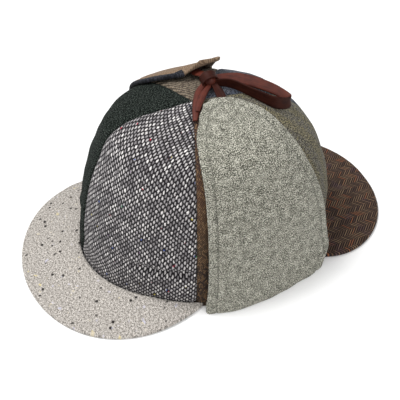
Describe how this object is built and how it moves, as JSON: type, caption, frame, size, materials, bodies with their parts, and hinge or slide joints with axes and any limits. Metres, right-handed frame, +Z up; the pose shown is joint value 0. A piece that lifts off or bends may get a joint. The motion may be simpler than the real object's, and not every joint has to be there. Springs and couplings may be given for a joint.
{
  "type": "deerstalker hat",
  "caption": "Deerstalker hat of patchwork tweed: panelled crown, a peak in front and behind, and ear flaps turned up and tied over the top with a ribbon bow.",
  "frame": {"origin": "middle of the hat's footprint, on the surface that it rests on", "axes": "+Z up; the front peak points along -Y; the wearer's left is +X"},
  "size_m": [0.1918, 0.3096, 0.1433],
  "materials": {
    "tweed_black_white": "black and white hopsack tweed with coloured slubs",
    "wool_dark_green": "dark green milled wool with a faint check",
    "tweed_brown": "brown tweed",
    "tweed_olive": "olive and lilac checked tweed",
    "tweed_blue_grey": "blue grey tweed",
    "twill_cream_black": "cream and black twill",
    "tweed_cream": "pale flecked tweed",
    "herringbone_brown": "dark brown herringbone tweed",
    "wool_grey": "light grey heathered wool",
    "herringbone_tan": "tan herringbone tweed, navy on the inside",
    "ribbon_red_brown": "red brown satin ribbon"
  },
  "bodies": {
    "root": {"crown_front_left": "tweed_black_white", "crown_side_left": "tweed_brown", "crown_back_left": "tweed_olive", "crown_back_right": "tweed_blue_grey", "crown_side_right": "twill_cream_black", "crown_front_right": "wool_dark_green", "front_peak": "tweed_cream", "back_peak": "herringbone_brown", "ear_flap_left": "wool_grey", "ear_flap_right": "herringbone_tan", "bow_knot": "ribbon_red_brown", "tie_left": "ribbon_red_brown", "tie_right": "ribbon_red_brown", "bow_loop": "ribbon_red_brown", "bow_tail_front": "ribbon_red_brown", "bow_tail_rear": "ribbon_red_brown"}
  },
  "joints": []
}
